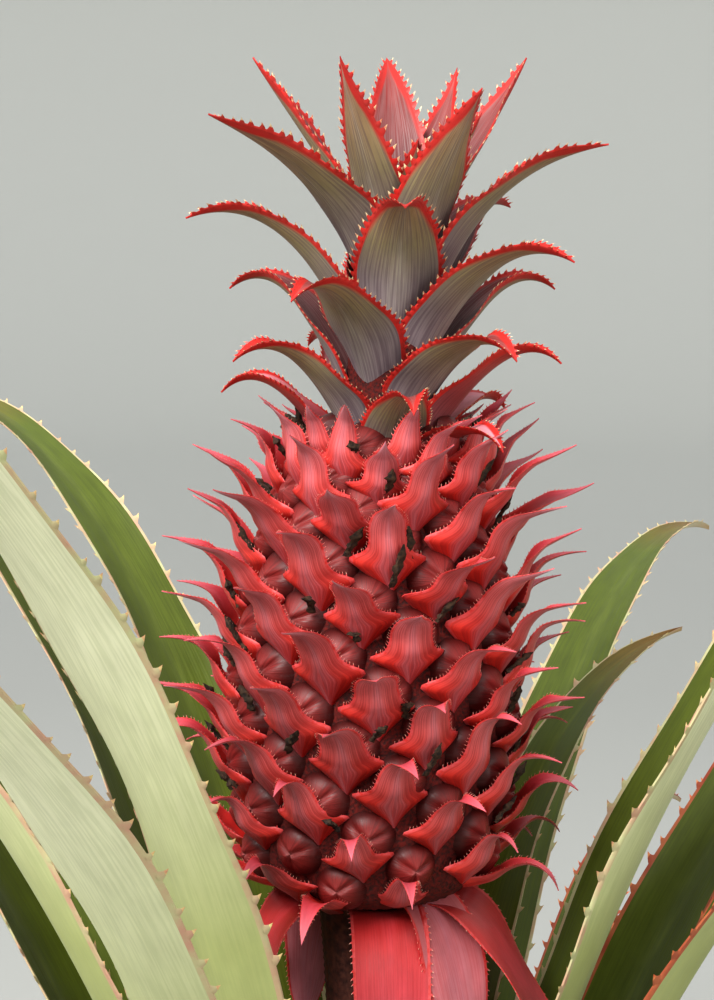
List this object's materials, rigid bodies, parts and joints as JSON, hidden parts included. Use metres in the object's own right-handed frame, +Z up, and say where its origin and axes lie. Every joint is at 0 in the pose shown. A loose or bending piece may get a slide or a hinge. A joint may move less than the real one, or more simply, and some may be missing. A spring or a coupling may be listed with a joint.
{
  "type": "pineapple plant",
  "caption": "Rooted pineapple plant with a rosette of long spiny leaves, a stalk with hanging red bracts, and a red bracted fruit with a leafy crown.",
  "frame": {"origin": "on the ground, at the middle of the flat cut under the stem", "axes": "+Z up along the stem, -Y towards the viewer of the picture, +X to the right in it"},
  "size_m": [1.2286, 1.2616, 0.7613],
  "materials": {
    "stem": "scurfy matt stem",
    "fruit": "satin waxy fruit skin",
    "crown": "scurfy satin leaf",
    "bract": "satin bract",
    "leaf": "satin leaf"
  },
  "bodies": {
    "root": {"stem": "stem", "stalk": "stem", "fruit": "fruit", "crown_lower_leaves": "crown", "crown_middle_leaves": "crown", "crown_upper_leaves": "crown", "stalk_bract_1": "bract", "stalk_bract_2": "bract", "stalk_bract_3": "bract", "stalk_bract_4": "bract", "stalk_bract_5": "bract", "stalk_bract_6": "bract", "stalk_bract_7": "bract", "stalk_bract_8": "bract", "stalk_bract_9": "bract", "leaf_01": "leaf", "leaf_02": "leaf", "leaf_03": "leaf", "leaf_04": "leaf", "leaf_05": "leaf", "leaf_06": "leaf", "leaf_07": "leaf", "leaf_08": "leaf", "leaf_09": "leaf", "leaf_10": "leaf", "leaf_11": "leaf", "leaf_12": "leaf", "leaf_13": "leaf", "leaf_14_lower": "leaf", "leaf_14_upper": "leaf", "leaf_15": "leaf", "leaf_16_lower": "leaf", "leaf_16_upper": "leaf", "leaf_17_lower": "leaf", "leaf_17_upper": "leaf", "leaf_18_lower": "leaf", "leaf_18_upper": "leaf", "leaf_19_lower": "leaf", "leaf_19_upper": "leaf", "leaf_20_lower": "leaf", "leaf_20_upper": "leaf", "leaf_21_lower": "leaf", "leaf_21_upper": "leaf", "leaf_22_lower": "leaf", "leaf_22_upper": "leaf", "leaf_23": "leaf", "leaf_24_lower": "leaf", "leaf_24_upper": "leaf", "leaf_25_lower": "leaf", "leaf_25_upper": "leaf", "leaf_26_lower": "leaf", "leaf_26_upper": "leaf", "leaf_27_lower": "leaf", "leaf_27_upper": "leaf", "leaf_28_lower": "leaf", "leaf_28_upper": "leaf", "leaf_29": "leaf", "leaf_30": "leaf", "leaf_31": "leaf", "leaf_32": "leaf"}
  },
  "joints": []
}
